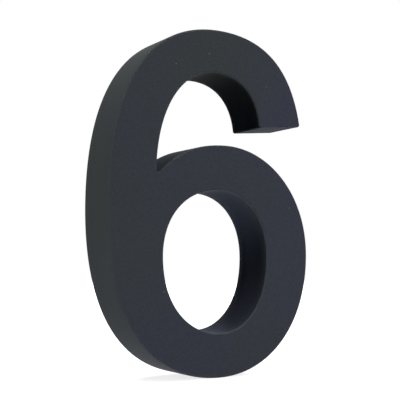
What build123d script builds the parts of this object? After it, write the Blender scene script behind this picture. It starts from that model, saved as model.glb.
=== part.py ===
"""House number six: one sheet-metal shell, open at the back, with two threaded sockets for wall studs.

Millimetres. +Z is up, the face looks toward -Y, and the back lies on Y 0 against the wall.
The origin is on the wall plane, in the middle of the numeral's height and width.
"""
import os
from math import cos, radians, sin, tan

from build123d import *

# Overall size
HEIGHT = 200.0
WIDTH = 133.0
DEPTH = 30.0

# Sheet, and the rounding of its edges, corners and welds
SHEET = 2.0
EDGE_ROUND = 1.0
CORNER_ROUND = 1.4
NOTCH_ROUND = 0.8
WELD_ROUND = 1.0
RIM_ROUND = 0.4

# Widths of the strokes
STEM = 34.2
BOWL_SIDE = 29.3
CROWN = 25.0
SHOULDER = 26.2
FOOT = 25.0

# Where the outline runs level, to the right of the middle
CROWN_X = 3.3
HOOK_X = 1.7
SHOULDER_X = 8.6
FOOT_X = 3.8
COUNTER_TOP_X = 3.9
COUNTER_FOOT_X = 4.8

# Where the outline runs upright, and the top of the bowl, above the lowest point
STEM_RISE = 96.4
BOWL_RISE = 70.2
BOWL_HEIGHT = 132.9
COUNTER_LEFT_RISE = 68.7
COUNTER_RIGHT_RISE = 68.1

# Notch between bowl and stem: in from the left side, down from the top of the bowl
NOTCH_IN = 29.9
NOTCH_DROP = 18.6
NOTCH_HEADING = 222.4

# Cut end of the hook: its inner corner, in from the right side and down from the top
TERMINAL_IN = 33.9
TERMINAL_DROP = 54.9
TERMINAL_WIDTH = 29.8
TERMINAL_TILT = 5.0
TERMINAL_OUTER_HEADING = 99.5
TERMINAL_INNER_HEADING = -85.0

# Fullness of the curves: the share of a quarter's run or rise that its control arm takes
ROUND = 0.585
STEM_ROUND = 0.70
SHOULDER_ROUND = 0.53
HOOK_OUTER_ROUND = 0.62
HOOK_INNER_ROUND = 0.60
HOOK_TURN_ROUND = 0.51
NECK_ROUND = 0.66
COUNTER_LEVEL_ROUND = 0.555
COUNTER_UPRIGHT_ROUND = 0.625

# Fullness on either end of the run from the top of the bowl down to the notch
NOTCH_LEAVE_ROUND = 0.42
NOTCH_ARRIVE_ROUND = 0.38

# Threaded sockets for M5 studs, in the middle of the crown and of the foot
SOCKET_RADIUS = 5.0
THREAD_RADIUS = 2.5
THREAD_DEPTH = 18.0
THREAD_MOUTH = 0.4
DRILL_RADIUS = 2.1
DRILL_DEPTH = 22.0
DRILL_POINT = 118.0
DRILL_WEB = 0.4


def toward(heading, length):
    """Step of a given length along a heading in degrees."""
    return Vector(length * cos(radians(heading)), length * sin(radians(heading)))


def from_level(start, end, level, upright):
    """Quarter turn that leaves level and arrives upright."""
    run = Vector(end.X - start.X, 0)
    rise = Vector(0, end.Y - start.Y)
    return Bezier(start, start + run * level, end - rise * upright, end)


def from_upright(start, end, upright, level):
    """Quarter turn that leaves upright and arrives level."""
    run = Vector(end.X - start.X, 0)
    rise = Vector(0, end.Y - start.Y)
    return Bezier(start, start + rise * upright, end - run * level, end)


def inward(before, after, inset):
    """Step from a corner to the same corner of the line drawn inset, given the headings on either side."""
    side_before = toward(before + 90, 1)
    side_after = toward(after + 90, 1)
    return (side_before + side_after) * (inset / (1 + side_before.dot(side_after)))


# Sides of the numeral, and the top of its bowl
top = HEIGHT / 2
base = -HEIGHT / 2
left = -WIDTH / 2
right = WIDTH / 2
bowl_top = base + BOWL_HEIGHT

# Corners of the outline, in the plane of the face
notch = Vector(left + NOTCH_IN, bowl_top - NOTCH_DROP)
terminal_in = Vector(right - TERMINAL_IN, top - TERMINAL_DROP)
terminal_out = terminal_in + toward(TERMINAL_TILT, TERMINAL_WIDTH)


def draw_outline(inset):
    """Outer line of the numeral, anticlockwise, or the inside of its wall when inset by the sheet."""
    crown = Vector(CROWN_X, top - inset)
    stem = Vector(left + inset, base + STEM_RISE)
    foot = Vector(FOOT_X, base + inset)
    bowl = Vector(right - inset, base + BOWL_RISE)
    shoulder = Vector(SHOULDER_X, bowl_top - inset)
    hook = Vector(HOOK_X, top - CROWN + inset)
    cut_in = terminal_in + inward(TERMINAL_INNER_HEADING, TERMINAL_TILT, inset)
    cut_out = terminal_out + inward(TERMINAL_TILT, TERMINAL_OUTER_HEADING, inset)
    notch_start = notch + toward(NOTCH_HEADING + 90, inset)
    notch_end = notch - Vector(inset, 0)
    notch_reach = (notch_start - shoulder).length

    Bezier(
        cut_out,
        cut_out + toward(TERMINAL_OUTER_HEADING, HOOK_OUTER_ROUND * (crown.Y - cut_out.Y)),
        crown + Vector(HOOK_OUTER_ROUND * (cut_out.X - crown.X), 0),
        crown,
    )
    from_level(crown, stem, ROUND, STEM_ROUND)
    from_upright(stem, foot, STEM_ROUND, ROUND)
    from_level(foot, bowl, ROUND, ROUND)
    from_upright(bowl, shoulder, ROUND, SHOULDER_ROUND)
    Bezier(
        shoulder,
        shoulder - Vector(NOTCH_LEAVE_ROUND * notch_reach, 0),
        notch_start - toward(NOTCH_HEADING, NOTCH_ARRIVE_ROUND * notch_reach),
        notch_start,
    )
    if inset > 0:
        TangentArc(notch_start, notch_end, tangent=toward(NOTCH_HEADING, 1))
    from_upright(notch_end, hook, NECK_ROUND, HOOK_TURN_ROUND)
    Bezier(
        hook,
        hook + Vector(HOOK_INNER_ROUND * (cut_in.X - hook.X), 0),
        cut_in - toward(TERMINAL_INNER_HEADING, HOOK_INNER_ROUND * (hook.Y - cut_in.Y)),
        cut_in,
    )
    Line(cut_in, cut_out)


def draw_counter(inset):
    """Line of the counter, or the inside of its wall when inset by the sheet."""
    upper = Vector(COUNTER_TOP_X, bowl_top - SHOULDER + inset)
    far = Vector(right - BOWL_SIDE + inset, base + COUNTER_RIGHT_RISE)
    lower = Vector(COUNTER_FOOT_X, base + FOOT - inset)
    near = Vector(left + STEM - inset, base + COUNTER_LEFT_RISE)
    from_level(upper, far, COUNTER_LEVEL_ROUND, COUNTER_UPRIGHT_ROUND)
    from_upright(far, lower, COUNTER_UPRIGHT_ROUND, COUNTER_LEVEL_ROUND)
    from_level(lower, near, COUNTER_LEVEL_ROUND, COUNTER_UPRIGHT_ROUND)
    from_upright(near, upper, COUNTER_UPRIGHT_ROUND, COUNTER_LEVEL_ROUND)


# The face, then the hollow inside its walls
with BuildSketch(Plane.XZ) as outline:
    with BuildLine():
        draw_outline(0)
    make_face()
    with BuildLine():
        draw_counter(0)
    make_face(mode=Mode.SUBTRACT)

with BuildSketch(Plane.XZ) as hollow:
    with BuildLine():
        draw_outline(SHEET)
    make_face()
    with BuildLine():
        draw_counter(SHEET)
    make_face(mode=Mode.SUBTRACT)

# Centres of the sockets
socket_centres = [(0, top - CROWN / 2), (0, base + FOOT / 2)]
with BuildSketch(Plane.XZ) as sockets:
    with Locations(*socket_centres):
        Circle(SOCKET_RADIUS)

# One tapped hole, turned about its own axis: mouth, root of the thread, drilled end and drill point
point_length = (DRILL_RADIUS - DRILL_WEB) / tan(radians(DRILL_POINT / 2))
with BuildPart() as tapped_hole:
    with BuildSketch():
        with BuildLine():
            Polyline(
                (0, 0),
                (THREAD_RADIUS + THREAD_MOUTH, 0),
                (THREAD_RADIUS, -THREAD_MOUTH),
                (THREAD_RADIUS, -THREAD_DEPTH),
                (DRILL_RADIUS, -THREAD_DEPTH),
                (DRILL_RADIUS, -DRILL_DEPTH),
                (DRILL_WEB, -DRILL_DEPTH - point_length),
                (0, -DRILL_DEPTH - point_length),
                close=True,
            )
        make_face()
    revolve(axis=Axis.Y)

with BuildPart() as numeral:
    extrude(outline.sketch, amount=DEPTH)

    # Corners of the hook's cut end, then the inside of the notch
    uprights = numeral.edges().filter_by(Axis.Y)
    corner_in = uprights.sort_by_distance(Plane.XZ.from_local_coords(terminal_in))[0]
    corner_out = uprights.sort_by_distance(Plane.XZ.from_local_coords(terminal_out))[0]
    fillet([corner_in, corner_out], CORNER_ROUND)
    uprights = numeral.edges().filter_by(Axis.Y)
    fillet(uprights.sort_by_distance(Plane.XZ.from_local_coords(notch))[0], NOTCH_ROUND)

    # Ground edge round the face, and the finer edge round the back
    level_faces = numeral.faces().filter_by(Axis.Y).sort_by(Axis.Y)
    front_edges = level_faces[0].edges()
    back_edges = level_faces[-1].edges()
    fillet(front_edges, EDGE_ROUND)
    fillet(back_edges, RIM_ROUND)

    # Open back, with the sockets standing on the inside of the face
    extrude(hollow.sketch, amount=DEPTH - SHEET, mode=Mode.SUBTRACT)
    extrude(sockets.sketch, amount=DEPTH - SHEET / 2)

    # Weld inside, along the walls and round the foot of each socket
    inside = numeral.faces().filter_by(Axis.Y).sort_by(Axis.Y)[1]
    fillet(inside.edges(), WELD_ROUND)

    # Tapped holes, open toward the wall
    with Locations(*[(x, 0, z) for x, z in socket_centres]):
        add(tapped_hole.part, mode=Mode.SUBTRACT)

numeral.part.label = "numeral_six"
os.makedirs("parts", exist_ok=True)
export_step(numeral.part, "parts/numeral_six.step")
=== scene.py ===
from math import pi, radians, tan

import bmesh
import bpy
from mathutils import Matrix, Vector


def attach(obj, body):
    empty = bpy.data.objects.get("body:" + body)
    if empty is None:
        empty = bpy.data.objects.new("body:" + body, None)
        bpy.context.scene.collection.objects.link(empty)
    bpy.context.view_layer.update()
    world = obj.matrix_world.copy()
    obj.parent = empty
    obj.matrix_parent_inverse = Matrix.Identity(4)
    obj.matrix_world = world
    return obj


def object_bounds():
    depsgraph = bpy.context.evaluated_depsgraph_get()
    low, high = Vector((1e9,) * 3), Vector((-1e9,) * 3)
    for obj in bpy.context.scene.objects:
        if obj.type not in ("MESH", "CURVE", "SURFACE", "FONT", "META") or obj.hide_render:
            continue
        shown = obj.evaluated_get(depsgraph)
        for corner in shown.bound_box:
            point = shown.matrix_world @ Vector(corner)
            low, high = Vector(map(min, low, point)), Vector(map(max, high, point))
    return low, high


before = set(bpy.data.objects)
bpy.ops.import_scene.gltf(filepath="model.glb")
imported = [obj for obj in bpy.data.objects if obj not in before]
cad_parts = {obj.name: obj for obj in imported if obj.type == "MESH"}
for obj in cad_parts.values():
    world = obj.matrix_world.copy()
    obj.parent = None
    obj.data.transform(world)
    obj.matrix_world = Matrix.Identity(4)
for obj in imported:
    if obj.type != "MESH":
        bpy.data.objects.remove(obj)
cad_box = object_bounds()

# One millimetre in the frame's metres
MM = 0.001

# Threaded sockets in the crown and the foot, from the part's own sizes
SOCKET_RISE = 87.5 * MM
THREAD_ROOT = 2.5 * MM

# M5 coarse thread: its ridge runs down the hole and sinks a little into the wall
PITCH = 0.8 * MM
CREST = 2.13 * MM
CREST_FLAT = 0.15 * MM
FLANK = radians(30)
RIDGE_SINK = 0.02 * MM
RIDGE_START = 0.8 * MM
RIDGE_TURNS = 21
STEPS_PER_TURN = 24

# Usual low and high of a noise pattern's value
NOISE_LOW = 0.3
NOISE_HIGH = 0.7


def colour(hex_code):
    """Linear colour of an sRGB hex value."""
    channels = [int(hex_code[i:i + 2], 16) / 255 for i in (1, 3, 5)]
    return [c / 12.92 if c <= 0.04045 else ((c + 0.055) / 1.055) ** 2.4 for c in channels] + [1.0]


def add_node(tree, kind, inputs=None, **settings):
    """Add a node with its settings, and set or link each of its inputs."""
    node = tree.nodes.new(kind)
    for name, value in settings.items():
        setattr(node, name, value)
    for name, value in (inputs or {}).items():
        if isinstance(value, bpy.types.NodeSocket):
            tree.links.new(value, node.inputs[name])
        else:
            node.inputs[name].default_value = value
    return node


def new_material(name):
    """Empty node material, its tree and its output."""
    material = bpy.data.materials.new(name)
    material.use_nodes = True
    material.node_tree.nodes.clear()
    output = add_node(material.node_tree, "ShaderNodeOutputMaterial")
    return material, material.node_tree, output


def new_piece(name, shape, material):
    """Object at the origin from a finished shape."""
    mesh = bpy.data.meshes.new(name)
    shape.to_mesh(mesh)
    shape.free()
    mesh.materials.append(material)
    piece = bpy.data.objects.new(name, mesh)
    bpy.context.scene.collection.objects.link(piece)
    return piece


# Powder coat, fine texture, matt anthracite, sprayed and stoved on ground steel: an even dark grey that
# drifts slowly from neutral to bluish, with a fine sandy grain, a few light flecks, and a dusty look only
# where the surface turns far from the eye.
# The real grain is about 0.4 mm across and is drawn at 0.9 mm, so that it shows in the render.
COAT_GRAIN = 0.9 * MM
GRAIN_SHADE = (0.9, 1.1)
GRAIN_RELIEF = 0.05 * MM
COAT_ROUGH = (0.52, 0.42)
COAT_GLOSS = 0.0022
COAT_CLOUD = 110.0 * MM
CLOUD_SHIFT = (-0.97, 0.06, -0.88)
CLOUD_SPAN = (0.35, 0.65)
FLECK_SPACING = 11.0 * MM
FLECK_RADIUS = 0.33 * MM

# Painted highlight on the front edges: in front of a depth, as the surface turns from the face, right of
# the stem
HIGHLIGHT_DEPTH = -28.95 * MM
HIGHLIGHT_TURN = (-0.95, -0.2)
HIGHLIGHT_SIDE = (-36.0 * MM, -30.0 * MM)

# Bare steel in the tapped holes: this far out from their axes, and this far in from the back
BARE_RADIUS = 2.75 * MM
BARE_DEPTH = 25.0 * MM


def make_powder_coat():
    material, tree, output = new_material("powder_coat_fine_texture")
    coords = add_node(tree, "ShaderNodeTexCoord")
    place = coords.outputs["Object"]

    # Sandy grain, and slow clouds, set in place by a shift, that drift the colour from neutral to bluish
    grain = add_node(
        tree, "ShaderNodeTexNoise",
        {"Vector": place, "Scale": 1 / COAT_GRAIN, "Detail": 2.0, "Roughness": 0.6},
    )
    shifted = add_node(tree, "ShaderNodeMapping", {"Vector": place, "Location": CLOUD_SHIFT})
    clouds = add_node(
        tree, "ShaderNodeTexNoise",
        {"Vector": shifted.outputs["Vector"], "Scale": 1 / COAT_CLOUD, "Detail": 3.0, "Roughness": 0.4},
    )
    drift = add_node(
        tree, "ShaderNodeMapRange",
        {"Value": clouds.outputs["Fac"], "From Min": CLOUD_SPAN[0], "From Max": CLOUD_SPAN[1]},
    )
    cloudy = add_node(
        tree, "ShaderNodeMix",
        {"Factor": drift.outputs["Result"], "A": colour("#373B3D"), "B": colour("#373A44")},
        data_type="RGBA",
    )
    sandy = add_node(
        tree, "ShaderNodeMapRange",
        {
            "Value": grain.outputs["Fac"],
            "From Min": NOISE_LOW,
            "From Max": NOISE_HIGH,
            "To Min": GRAIN_SHADE[0],
            "To Max": GRAIN_SHADE[1],
        },
    )
    grained = add_node(
        tree, "ShaderNodeMix",
        {"Factor": 1.0, "A": cloudy.outputs["Result"], "B": sandy.outputs["Result"]},
        data_type="RGBA", blend_type="MULTIPLY",
    )

    # Light flecks
    cells = add_node(
        tree, "ShaderNodeTexVoronoi",
        {"Vector": place, "Scale": 1 / FLECK_SPACING},
    )
    fleck = add_node(
        tree, "ShaderNodeMath",
        {0: cells.outputs["Distance"], 1: FLECK_RADIUS / FLECK_SPACING},
        operation="LESS_THAN",
    )
    flecked = add_node(
        tree, "ShaderNodeMix",
        {"Factor": fleck.outputs["Value"], "A": grained.outputs["Result"], "B": colour("#63666B")},
        data_type="RGBA",
    )

    # Painted highlight: a paler colour on the rounded front edge, right of the stem, for the light line it
    # catches
    sides = add_node(tree, "ShaderNodeSeparateXYZ", {"Vector": place})
    facing = add_node(tree, "ShaderNodeSeparateXYZ", {"Vector": coords.outputs["Normal"]})
    highlight_turn = add_node(
        tree, "ShaderNodeMapRange",
        {"Value": facing.outputs["Y"], "From Min": HIGHLIGHT_TURN[0], "From Max": HIGHLIGHT_TURN[1]},
    )
    highlight_front = add_node(
        tree, "ShaderNodeMath",
        {0: sides.outputs["Y"], 1: HIGHLIGHT_DEPTH},
        operation="LESS_THAN",
    )
    highlight_off_stem = add_node(
        tree, "ShaderNodeMapRange",
        {"Value": sides.outputs["X"], "From Min": HIGHLIGHT_SIDE[0], "From Max": HIGHLIGHT_SIDE[1]},
    )
    front_edge_highlight = add_node(
        tree, "ShaderNodeMath",
        {0: highlight_turn.outputs["Result"], 1: highlight_front.outputs["Value"]},
        operation="MULTIPLY",
    )
    edge_highlight = add_node(
        tree, "ShaderNodeMath",
        {0: front_edge_highlight.outputs["Value"], 1: highlight_off_stem.outputs["Result"]},
        operation="MULTIPLY",
    )
    # The paler #4C5058 laid on the rounded front edge is a painted edge highlight
    highlighted = add_node(
        tree, "ShaderNodeMix",
        {"Factor": edge_highlight.outputs["Value"], "A": flecked.outputs["Result"], "B": colour("#4C5058")},
        data_type="RGBA",
    )

    # Bare steel inside the two tapped holes, which were plugged while the coat was sprayed
    height = add_node(tree, "ShaderNodeMath", {0: sides.outputs["Z"]}, operation="ABSOLUTE")
    off_socket = add_node(
        tree, "ShaderNodeMath",
        {0: height.outputs["Value"], 1: SOCKET_RISE},
        operation="SUBTRACT",
    )
    across = add_node(
        tree, "ShaderNodeCombineXYZ",
        {"X": sides.outputs["X"], "Y": off_socket.outputs["Value"]},
    )
    from_axis = add_node(tree, "ShaderNodeVectorMath", {0: across.outputs["Vector"]}, operation="LENGTH")
    in_hole = add_node(
        tree, "ShaderNodeMath",
        {0: from_axis.outputs["Value"], 1: BARE_RADIUS},
        operation="LESS_THAN",
    )
    behind_face = add_node(
        tree, "ShaderNodeMath",
        {0: sides.outputs["Y"], 1: -BARE_DEPTH},
        operation="GREATER_THAN",
    )
    bare = add_node(
        tree, "ShaderNodeMath",
        {0: in_hole.outputs["Value"], 1: behind_face.outputs["Value"]},
        operation="MULTIPLY",
    )
    skin = add_node(
        tree, "ShaderNodeMix",
        {"Factor": bare.outputs["Value"], "A": highlighted.outputs["Result"], "B": colour("#A09D98")},
        data_type="RGBA",
    )

    # Grain felt as well as seen: its crests stand up and are rubbed a little smoother
    rough = add_node(
        tree, "ShaderNodeMapRange",
        {
            "Value": grain.outputs["Fac"],
            "From Min": NOISE_LOW,
            "From Max": NOISE_HIGH,
            "To Min": COAT_ROUGH[0],
            "To Max": COAT_ROUGH[1],
        },
    )
    bump = add_node(
        tree, "ShaderNodeBump",
        {"Height": grain.outputs["Fac"], "Distance": GRAIN_RELIEF, "Strength": 1.0},
    )
    coat = add_node(
        tree, "ShaderNodeBsdfPrincipled",
        {
            "Base Color": skin.outputs["Result"],
            "Metallic": bare.outputs["Value"],
            "Roughness": rough.outputs["Result"],
            "Specular IOR Level": COAT_GLOSS,
            "Specular Tint": colour("#DCE6F4"),
            "Normal": bump.outputs["Normal"],
        },
    )
    tree.links.new(coat.outputs["BSDF"], output.inputs["Surface"])
    return material


# Carbon steel cut by a tap and left bare: bright grey flanks with fine darker scores
SCORE_WIDTH = 0.25 * MM
STEEL_ROUGH = (0.28, 0.48)


def make_cut_steel():
    material, tree, output = new_material("cut_steel_thread")
    place = add_node(tree, "ShaderNodeTexCoord").outputs["Object"]
    scores = add_node(
        tree, "ShaderNodeTexNoise",
        {"Vector": place, "Scale": 1 / SCORE_WIDTH, "Detail": 3.0, "Roughness": 0.7},
    )
    shade = add_node(
        tree, "ShaderNodeMix",
        {"Factor": scores.outputs["Fac"], "A": colour("#8A8782"), "B": colour("#B9B6B0")},
        data_type="RGBA",
    )
    rough = add_node(
        tree, "ShaderNodeMapRange",
        {
            "Value": scores.outputs["Fac"],
            "From Min": NOISE_LOW,
            "From Max": NOISE_HIGH,
            "To Min": STEEL_ROUGH[0],
            "To Max": STEEL_ROUGH[1],
        },
    )
    steel = add_node(
        tree, "ShaderNodeBsdfPrincipled",
        {"Base Color": shade.outputs["Result"], "Metallic": 1.0, "Roughness": rough.outputs["Result"]},
    )
    tree.links.new(steel.outputs["BSDF"], output.inputs["Surface"])
    return material


def cut_thread(name, rise, steel):
    """Ridge of the thread in one socket: its section spun down the hole, right-handed, both ends closed."""
    outer = THREAD_ROOT + RIDGE_SINK
    half_crest = CREST_FLAT / 2
    half_base = half_crest + (outer - CREST) * tan(FLANK)
    section = [(outer, half_base), (CREST, half_crest), (CREST, -half_crest), (outer, -half_base)]
    shape = bmesh.new()
    corners = [shape.verts.new((radius, along - RIDGE_START, rise)) for radius, along in section]
    edges = [shape.edges.new(pair) for pair in zip(corners, corners[1:] + corners[:1])]
    bmesh.ops.spin(
        shape,
        geom=corners + edges,
        cent=(0, 0, rise),
        axis=(0, 1, 0),
        dvec=(0, -PITCH / STEPS_PER_TURN, 0),
        angle=-2 * pi * RIDGE_TURNS,
        steps=RIDGE_TURNS * STEPS_PER_TURN,
        use_merge=False,
        use_duplicate=False,
    )
    bmesh.ops.holes_fill(shape, edges=shape.edges, sides=len(section))
    bmesh.ops.recalc_face_normals(shape, faces=shape.faces)
    ridge = new_piece(name, shape, steel)
    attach(ridge, "root")


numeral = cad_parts["numeral_six"]
numeral.data.materials.clear()
numeral.data.materials.append(make_powder_coat())
steel = make_cut_steel()
cut_thread("thread_crown", SOCKET_RISE, steel)
cut_thread("thread_foot", -SOCKET_RISE, steel)

# Studio: a light table for a floor, surroundings that are white to the eye and in gloss, and lamps
MID_DEPTH = -15.0 * MM
MIDDLE = (0, MID_DEPTH, 0)
WHITE = colour("#FFFFFF")
WARM = colour("#FFFCE2")
COOL = colour("#DFEAFA")
BULB_RADIUS = 10.0 * MM

# Light table: half its side, and its glow, which is weaker near the numeral, where the lamps add to it
TABLE_HALF = 6.0
TABLE_GLOW = (0.76, 1.0)
GLOW_REACH = (0.15, 1.0)


def seen_directly(tree):
    """One for rays from the eye, in gloss and through glass, and nought for light that falls on things."""
    path = add_node(tree, "ShaderNodeLightPath")
    gloss = add_node(
        tree, "ShaderNodeMath",
        {0: path.outputs["Is Camera Ray"], 1: path.outputs["Is Glossy Ray"]},
        operation="MAXIMUM",
    )
    glass = add_node(
        tree, "ShaderNodeMath",
        {0: gloss.outputs["Value"], 1: path.outputs["Is Transmission Ray"]},
        operation="MAXIMUM",
    )
    return glass.outputs["Value"]


def make_surroundings():
    """World that is white where it is seen and gives no light of its own."""
    world = bpy.data.worlds.new("white_surroundings")
    world.use_nodes = True
    tree = world.node_tree
    tree.nodes.clear()
    dark = add_node(tree, "ShaderNodeBackground", {"Strength": 0.0})
    white = add_node(tree, "ShaderNodeBackground", {"Color": WHITE, "Strength": 1.0})
    mix = add_node(
        tree, "ShaderNodeMixShader",
        {0: seen_directly(tree), 1: dark.outputs["Background"], 2: white.outputs["Background"]},
    )
    output = add_node(tree, "ShaderNodeOutputWorld")
    tree.links.new(mix.outputs["Shader"], output.inputs["Surface"])
    bpy.context.scene.world = world


def make_floor():
    """Light table: white to the eye with the numeral's faint shadow, and it sends little light back up."""
    material, tree, output = new_material("pale_light_table")
    place = add_node(tree, "ShaderNodeTexCoord").outputs["Object"]
    away = add_node(tree, "ShaderNodeVectorMath", {0: place}, operation="LENGTH")
    strength = add_node(
        tree, "ShaderNodeMapRange",
        {
            "Value": away.outputs["Value"],
            "From Min": GLOW_REACH[0],
            "From Max": GLOW_REACH[1],
            "To Min": TABLE_GLOW[0],
            "To Max": TABLE_GLOW[1],
        },
    )
    pale = add_node(tree, "ShaderNodeBsdfDiffuse", {"Color": colour("#A8A8A6")})
    glow = add_node(tree, "ShaderNodeEmission", {"Strength": strength.outputs["Result"]})
    lit = add_node(tree, "ShaderNodeAddShader", {0: pale.outputs["BSDF"], 1: glow.outputs["Emission"]})
    dim = add_node(tree, "ShaderNodeBsdfDiffuse", {"Color": colour("#505050")})
    mix = add_node(
        tree, "ShaderNodeMixShader",
        {0: seen_directly(tree), 1: dim.outputs["BSDF"], 2: lit.outputs["Shader"]},
    )
    tree.links.new(mix.outputs["Shader"], output.inputs["Surface"])
    shape = bmesh.new()
    bmesh.ops.create_grid(shape, x_segments=1, y_segments=1, size=TABLE_HALF)
    bmesh.ops.translate(shape, verts=shape.verts, vec=(0, 0, cad_box[0].z))
    table = new_piece("floor", shape, material)

    # Lamps below the table shine through it
    table.visible_shadow = False


def hang_lamp(lamp, place, aim, tint):
    """Hang a lamp at its place, turned toward its aim, where neither the eye nor gloss sees it."""
    lamp.color = tint[:3]
    turn = (Vector(aim) - Vector(place)).to_track_quat("-Z", "Z")
    hung = bpy.data.objects.new(lamp.name, lamp)
    hung.matrix_world = Matrix.Translation(place) @ turn.to_matrix().to_4x4()
    hung.visible_camera = False
    hung.visible_glossy = False
    bpy.context.scene.collection.objects.link(hung)


def soft_box(name, place, width, level, tint):
    """Square lamp aimed at the numeral; level is the share of full light on a surface that faces it."""
    lamp = bpy.data.lights.new(name, "AREA")
    lamp.shape = "SQUARE"
    lamp.size = width
    lamp.energy = level * pi * pi * (Vector(MIDDLE) - Vector(place)).length_squared
    hang_lamp(lamp, place, MIDDLE, tint)


def narrow_lamp(name, place, aim, beam, level, tint):
    """Lamp whose beam, in degrees, fades to its rim; level is the share of full light in the middle."""
    lamp = bpy.data.lights.new(name, "SPOT")
    lamp.spot_size = radians(beam)
    lamp.spot_blend = 1.0
    lamp.shadow_soft_size = BULB_RADIUS
    lamp.energy = level * 4 * pi * pi * (Vector(aim) - Vector(place)).length_squared
    hang_lamp(lamp, place, aim, tint)


make_surroundings()
make_floor()

# Face
soft_box("front_box", (0.38, -1.45, 0.16), 0.4, 0.60, WHITE)
soft_box("high_box", (0.1, -0.9, 1.1), 0.4, 0.42, WHITE)

# Outer walls on the left, from the numeral's own plane, so that the face gets little of it
soft_box("crown_left_box", (-0.27, MID_DEPTH, 0.42), 0.14, 0.76, WARM)
soft_box("foot_left_box", (-0.2, MID_DEPTH, -0.45), 0.14, 0.70, WARM)
soft_box("left_box", (-0.5, MID_DEPTH, 0.0), 0.06, 0.20, WHITE)

# Walls of the counter
narrow_lamp("counter_crown_lamp", (-0.13, 0.345, -0.458), (0.02, MID_DEPTH, -0.002), 6.0, 0.65, COOL)
narrow_lamp("counter_foot_lamp", (-0.13, 0.345, 0.4), (0.015, MID_DEPTH, -0.065), 7.0, 0.1, COOL)
narrow_lamp("counter_side_lamp", (-0.533, -0.195, -0.005), (0.037, MID_DEPTH, -0.035), 8.0, 0.09, COOL)

# Outer walls on the right, from the same plane
soft_box("crown_right_box", (0.3, MID_DEPTH, 0.42), 0.14, 0.4, WHITE)
soft_box("foot_right_box", (0.3, MID_DEPTH, -0.42), 0.14, 0.4, WHITE)
soft_box("right_box", (0.5, MID_DEPTH, 0.05), 0.14, 0.4, WHITE)

# Back rim and inside
soft_box("back_box", (1.2, 1.3, 1.05), 0.4, 0.9, WHITE)
soft_box("inside_box", (0.3, 2.0, 0.2), 0.3, 0.7, WHITE)

# Camera, from the left of the numeral and a little below its middle
EYE_PLACE = (-0.266102, -0.461016, -0.032373)
EYE_TILT = radians(93.764)
EYE_TURN = radians(-30.815)
EYE_LENS = 79.88
EYE_SENSOR = 36.0

eye = bpy.data.cameras.new("eye")
eye.sensor_fit = "HORIZONTAL"
eye.sensor_width = EYE_SENSOR
eye.lens = EYE_LENS
viewer = bpy.data.objects.new("eye", eye)
viewer.location = EYE_PLACE
viewer.rotation_euler = (EYE_TILT, 0, EYE_TURN)
bpy.context.scene.collection.objects.link(viewer)
bpy.context.scene.camera = viewer
bpy.context.scene.view_settings.view_transform = "Standard"
